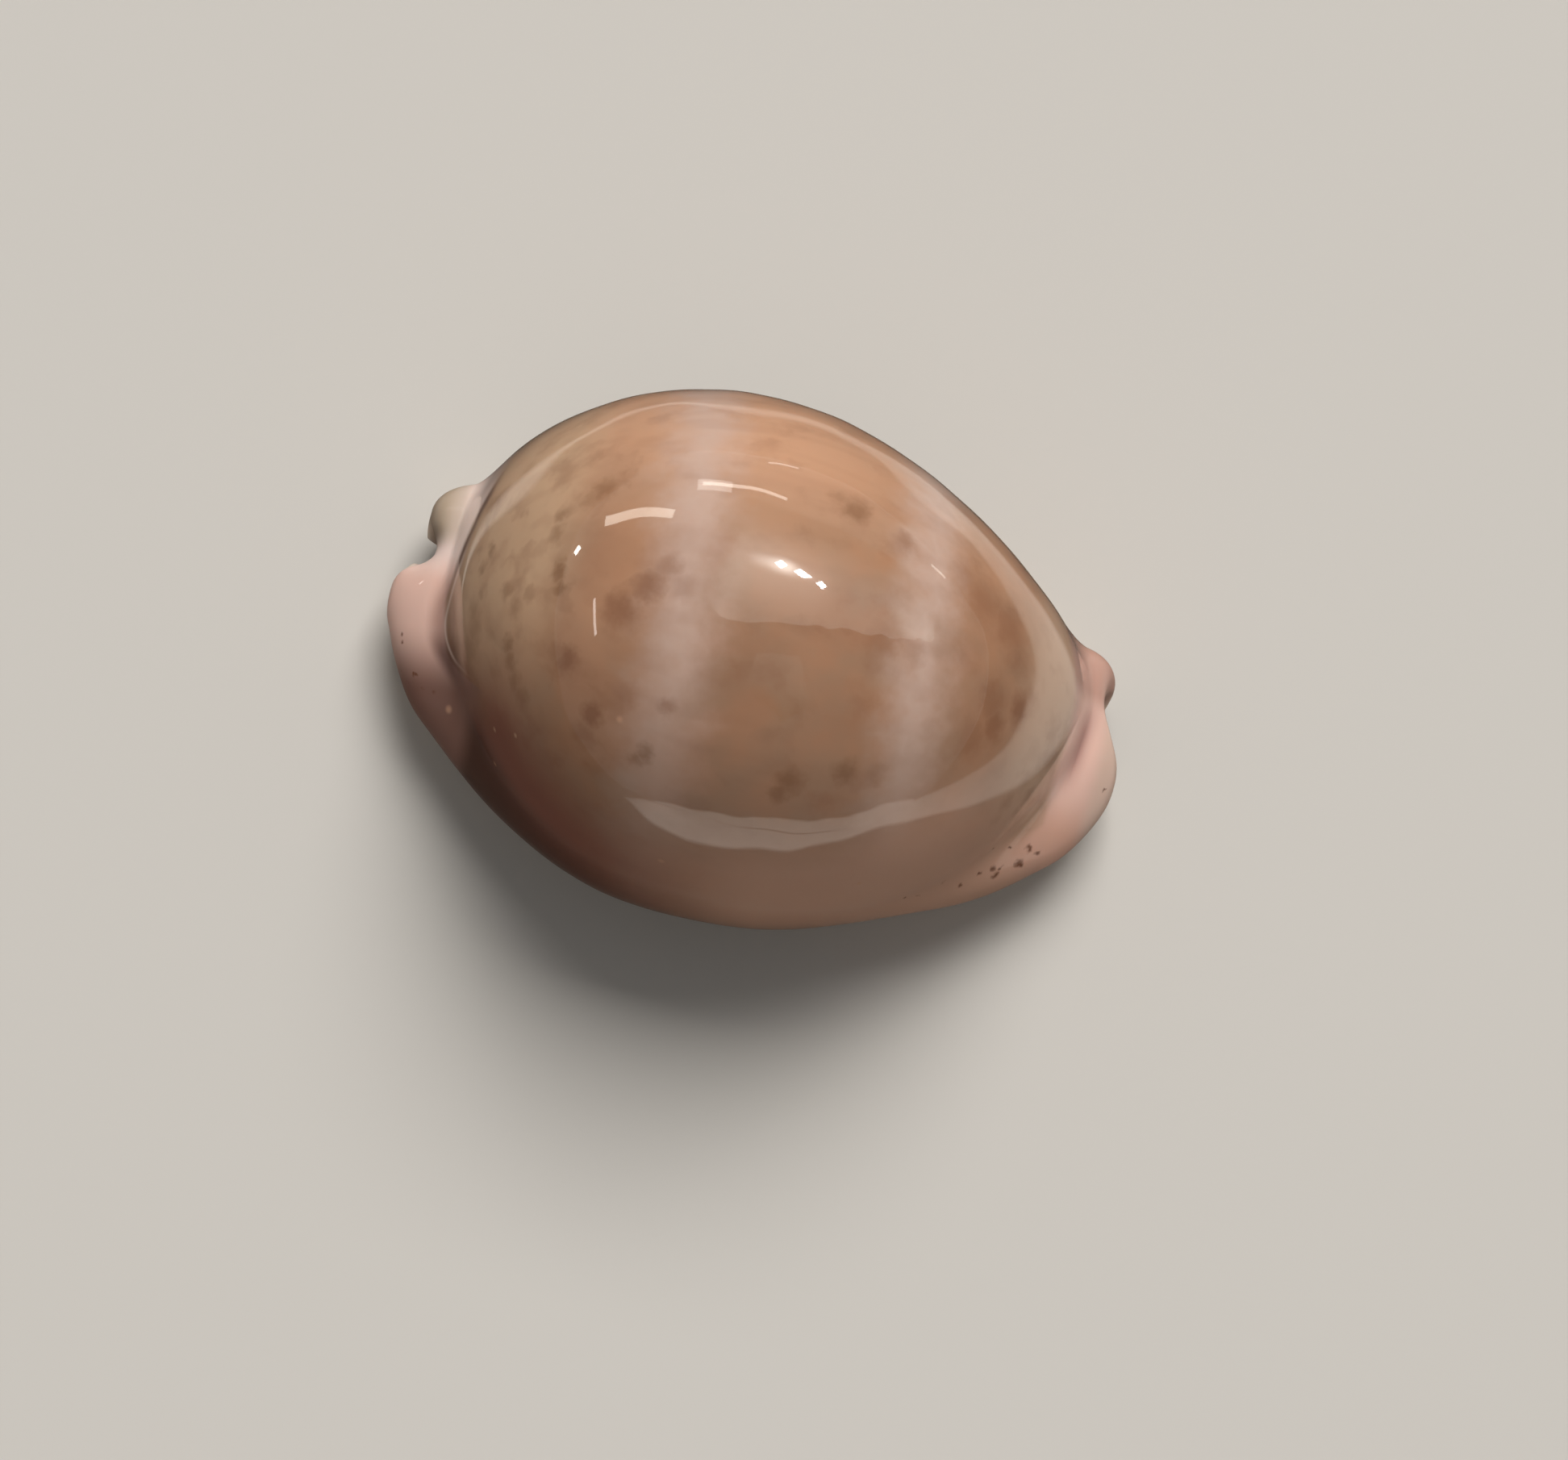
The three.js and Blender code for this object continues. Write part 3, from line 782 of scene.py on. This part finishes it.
def floor_piece():
    """A wide plain pale floor."""
    paint = Paint("pale_floor")
    look = {"Base Color": tint(206, 203, 198), "Roughness": 0.9, "Specular IOR Level": 0.2}
    return level_square("floor", FLOOR_HALF, 0, paint.finish(look))


def backdrop():
    """A plain pale wall far round the floor, which only the camera sees."""
    top = 6.0
    around = [direction(azimuth, 0) * BACKDROP_RADIUS for azimuth in range(0, 361, 5)]
    rows = [[(spot.x, spot.y, height) for spot in around] for height in (0, top)]
    wall = gleam(sheet("backdrop", rows, glow_paint("backdrop", tint(198, 194, 188), 1.0)))
    wall.visible_camera = True
    wall.visible_glossy = False
    return wall


def direction(azimuth, elevation):
    """Unit vector: azimuth 0 is +X and 90 is +Y, elevation is above the floor, in degrees."""
    a = math.radians(azimuth)
    e = math.radians(elevation)
    return Vector((math.cos(a) * math.cos(e), math.sin(a) * math.cos(e), math.sin(e)))


def lamp(name, start, end, width, radiance, colour=(1, 1, 1), away=0.5):
    """A flat lamp that faces the shell, and reaches from one direction to another as the shell sees it."""
    first = direction(*start) * away
    last = direction(*end) * away
    middle = (first + last) / 2
    light = bpy.data.lights.new(name, "AREA")
    light.shape = "RECTANGLE"
    light.size = max((last - first).length, width)
    light.size_y = width
    light.energy = radiance * light.size * light.size_y * math.pi
    light.color = colour
    back_side = middle.normalized()
    along = (last - first).normalized() if first != last else back_side.orthogonal().normalized()
    along = (along - back_side * along.dot(back_side)).normalized()
    piece = add(name, light)
    axes = Matrix((along, back_side.cross(along), back_side)).transposed().to_4x4()
    piece.matrix_world = Matrix.Translation(middle) @ axes
    piece.visible_camera = False
    return piece


def gleam(piece):
    """Shows a lamp or a panel only in the polish, so that it doesn't light the shell from its side."""
    piece.visible_camera = False
    piece.visible_diffuse = False
    piece.visible_shadow = False
    return piece


def bright_paint(name, colour, radiance, share):
    """A face that gives light: radiance where share is 1, and dark where it is 0."""
    paint = Paint(name)
    place = paint.node("ShaderNodeTexCoord", None, None, "Object")
    look = {
        "Base Color": BLACK,
        "Specular IOR Level": 0.0,
        "Emission Color": paint.mix(BLACK, colour, share(paint, *paint.parts(place))),
        "Emission Strength": radiance,
    }
    return paint.finish(look)


def ceiling_panel():
    """A large soft panel overhead on the columellar side: uneven near edge, bright heart, lamps' halo."""
    strips = 40

    def share(paint, x, y, z):
        sideways = paint.rise(x, -0.2, -0.05)
        farther = paint.rise(y, 0.8, 0.3)
        heart = paint.vector("DISTANCE", paint.join(x, y, z), (0.0, 0.35, CEILING), output="Value")
        bright = paint.rise(heart, 0.26, 0.03)
        lamps = paint.vector("DISTANCE", paint.join(x * 0.75, y, z), (0.036, 0.345, CEILING), output="Value")
        halo = paint.rise(lamps, 0.085, 0.0)
        return sideways * farther * (bright * 0.115 + 0.105) + halo * halo * 0.9

    near = []
    far = []
    for step in range(strips + 1):
        x = -0.25 + 0.03 * step
        waver = 0.008 * math.sin(21 * x) + 0.006 * math.sin(47 * x + 1)
        near.append((x, 0.075 + 0.33 * max(x, 0) - 0.25 * min(x, 0) + waver, CEILING))
        far.append((x, 1.0, CEILING))
    material = bright_paint("ceiling_light", (1.0, 0.96, 0.88, 1), 12.0, share)
    return gleam(sheet("ceiling_panel", [near, far], material))


# What the polish shows round the shell: dips below the horizon and heights above it, in degrees,
# round the azimuth, as a point at the dome's side sees them
cloth_dip = smooth_curve(
    (-112, 5.5), (-104, 8), (-97, 12), (-84, 12.5), (-68, 7.9), (-50, 5.5), (-40, 7.3), (-22, 18.4),
    (-11, 27.5), (-4, 29.5), (18, 30), (39, 29.9), (60, 31.5), (76, 29.7), (92, 28.1), (105, 26),
    (118, 28.3), (133, 25.6), (151, 26.9), (171, 31.4), (180, 32.5),
)
ring_dip = smooth_curve(
    (-112, 5.2), (-106, 2.5), (-100, 0.6), (-70, 0.6), (-33, 0.6), (-28, 2.7), (-12, 12), (-5, 16.2),
    (4, 17.2), (15, 18.4), (30, 18), (44, 20.1), (50, 21), (58, 18.6), (64, 18.4), (71, 23), (77, 24.9),
    (91, 24), (104, 23), (110, 25.2), (118, 27), (130, 24.4), (141, 23.9), (154, 22.4), (159, 24),
    (164, 27.3), (171, 30.4), (180, 32.4),
)
wall_top = smooth_curve((-100, 0.6), (-96, 2.0), (-84, 6), (-66, 7.4), (-49, 7), (-38, 3.4), (-33, 0.6))
# How bright the pale surroundings are, round the azimuth
surround_light = smooth_curve(
    (-112, 0.5), (-104, 0.75), (-90, 1), (-60, 1), (-40, 0.95), (-22, 0.6), (-8, 0.5), (25, 0.5),
    (50, 0.48), (75, 0.45), (105, 0.45), (130, 0.55), (180, 0.55),
)
SURROUND_REACH = 0.9  # metres
SURROUND_COLOUR = (1.0, 0.9, 0.8, 1)
EYE_HEIGHT = 10 * MM  # of the point at the dome's side that sees them


def floor_spot(azimuth, dip, height):
    """Where a sight line from the dome's side meets the floor, no farther than the surroundings reach."""
    least_dip = 0.1
    away = min(EYE_HEIGHT / math.tan(math.radians(max(dip, least_dip))), SURROUND_REACH)
    spot = direction(azimuth, 0) * away
    return spot.x, spot.y, height


def dark_cloth():
    """A dark cloth round the shell, which only the polish shows: it keeps the floor out of it."""
    material = glow_paint("dark_cloth", (1, 0.8, 0.66, 1), 0.08)
    return gleam(level_square("dark_cloth", SURROUND_REACH, 0.05 * MM, material))


def pale_surround():
    """The pale table beyond the cloth and the low wall behind it, a soft-edged band in the polish."""
    soft = 1.1  # degrees over which an edge fades

    def share(paint, x, y, z):
        return paint.attribute("share")

    azimuths = np.arange(-112, 180.5, 1.5)
    walled = azimuths[(azimuths >= -100) & (azimuths <= -33)]
    ring = []
    wall = []
    for azimuth in azimuths:
        near = float(cloth_dip(azimuth))
        far = min(float(ring_dip(azimuth)), near - 0.2)
        edge = min(soft, 0.4 * (near - far))
        dips = (near + edge, near - edge, far + edge, far - edge)
        ring.append([floor_spot(azimuth, dip, 0.1 * MM) for dip in dips])
        if azimuth in walled:
            top = max(float(wall_top(azimuth)) + 0.4 * math.sin(0.7 * azimuth), 0.1)
            heights = (0.01, max(0.02, top - soft), top + soft)
            wall.append([tuple(direction(azimuth, height) * SURROUND_REACH) for height in heights])
    material = bright_paint("surround_light", SURROUND_COLOUR, 1.32, share)
    table = sheet("pale_table", ring, material)
    low_wall = sheet("low_wall", wall, material)
    for piece, spread, shares in ((table, azimuths, (0, 1, 1, 0)), (low_wall, walled, (1, 1, 0))):
        values = np.outer(surround_light(spread), shares).ravel()
        piece.data.attributes.new("share", "FLOAT", "POINT").data.foreach_set("value", values)
    return gleam(table), gleam(low_wall)


def faint_window():
    """A faint patch of light straight overhead."""

    def share(paint, x, y, z):
        return paint.rise(y, -0.27, -0.02)

    rows = [
        [(0.033, -0.011, CEILING), (0.105, 0.013, CEILING)],
        [(0.03, -0.13, CEILING), (0.16, -0.075, CEILING)],
        [(0.127, -0.272, CEILING), (0.221, -0.186, CEILING)],
    ]
    material = bright_paint("window_light", (1, 0.96, 0.88, 1), 0.46, share)
    return gleam(sheet("faint_window", rows, material))


# Strips of light that only the polish shows: directions of the two ends, width in metres, radiance, colour
STRIPS = {
    "strip_left": ((149, 8), (128, 29), 0.035, 5.2, (1.0, 0.92, 0.8)),
    "strip_back": ((112, 19), (86, 22), 0.016, 5.2, (1.0, 0.92, 0.82)),
    "strip_back_end": ((114, 19), (105, 21), 0.05, 3.0, (1.0, 0.92, 0.85)),
    "strip_rear": ((174, 19), (-173, 25), 0.013, 6, (1.0, 0.9, 0.84)),
    "spark_rear": ((164, 3), (161, 4), 0.014, 20, (1.0, 0.95, 0.88)),
    "dash_back": ((91, 4), (85, 2), 0.008, 3.3, (1.0, 0.94, 0.88)),
    "dash_front": ((51, 7), (46, 5), 0.012, 3.3, (1.0, 0.92, 0.8)),
}
BULB_AZIMUTHS = (84, 73, 65)
BULB_ELEVATION = 55


def studio():
    """One large soft key light on the columellar side, small bulbs and strips in the polish, dim air."""
    key = lamp("key_light", (67, 50), (105, 50), 1.7, 10.3, (1.0, 0.97, 0.93), 3.0)
    key.visible_glossy = False
    for number, azimuth in enumerate(BULB_AZIMUTHS):
        toward = (azimuth, BULB_ELEVATION)
        gleam(lamp(f"bulb_{number}", toward, toward, 0.022, 60))
    for name, strip in STRIPS.items():
        gleam(lamp(name, *strip))
    world = bpy.data.worlds.new("studio_air")
    bpy.context.scene.world = world
    world.use_nodes = True
    air = world.node_tree.nodes["Background"]
    air.inputs["Color"].default_value = (1, 0.98, 0.96, 1)
    air.inputs["Strength"].default_value = 0.2


def camera():
    """Looks down on the back, a little from the outer lip's side and the rear, as the photograph does."""
    target = Vector((0.126, -0.166, 5.933)) * MM
    distance = 178.0 * MM
    tilt_to_lip = math.radians(8.0)
    tilt_to_rear = math.radians(3.0)
    roll = math.radians(13.8)
    image_width = 1944
    image_height = 1810
    focal_pixels = 6030
    target_pixel = (950, 829)
    sensor = 36.0
    toward_eye = Vector((-math.tan(tilt_to_rear), -math.tan(tilt_to_lip), 1)).normalized()
    level = (Vector((1, 0, 0)) - toward_eye * toward_eye.x).normalized()
    upright = toward_eye.cross(level)
    right = math.cos(roll) * level + math.sin(roll) * upright
    up = -math.sin(roll) * level + math.cos(roll) * upright
    aside = (target_pixel[0] - image_width / 2) / focal_pixels * distance
    below = (target_pixel[1] - image_height / 2) / focal_pixels * distance
    eye = target + toward_eye * distance - right * aside + up * below
    data = bpy.data.cameras.new("camera")
    data.sensor_fit = "HORIZONTAL"
    data.sensor_width = sensor
    data.lens = focal_pixels / image_width * sensor
    data.clip_start = 0.01
    data.clip_end = 20
    piece = add("camera", data)
    axes = Matrix((right, up, toward_eye)).transposed().to_4x4()
    piece.matrix_world = Matrix.Translation(eye) @ axes
    bpy.context.scene.camera = piece


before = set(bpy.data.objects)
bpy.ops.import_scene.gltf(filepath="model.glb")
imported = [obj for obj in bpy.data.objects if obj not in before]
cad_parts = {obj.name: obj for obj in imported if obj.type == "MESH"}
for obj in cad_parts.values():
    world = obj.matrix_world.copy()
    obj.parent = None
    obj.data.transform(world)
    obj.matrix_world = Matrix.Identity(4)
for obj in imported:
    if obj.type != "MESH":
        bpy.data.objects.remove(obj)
cad_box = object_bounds()

shell = shell_piece(cad_box)
shell.data.materials.append(enamel())
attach(shell, "root")
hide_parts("shell")

floor_piece()
backdrop()
dark_cloth()
ceiling_panel()
faint_window()
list(pale_surround())
studio()
camera()
bpy.context.scene.view_settings.view_transform = "Standard"

bpy.context.view_layer.update()
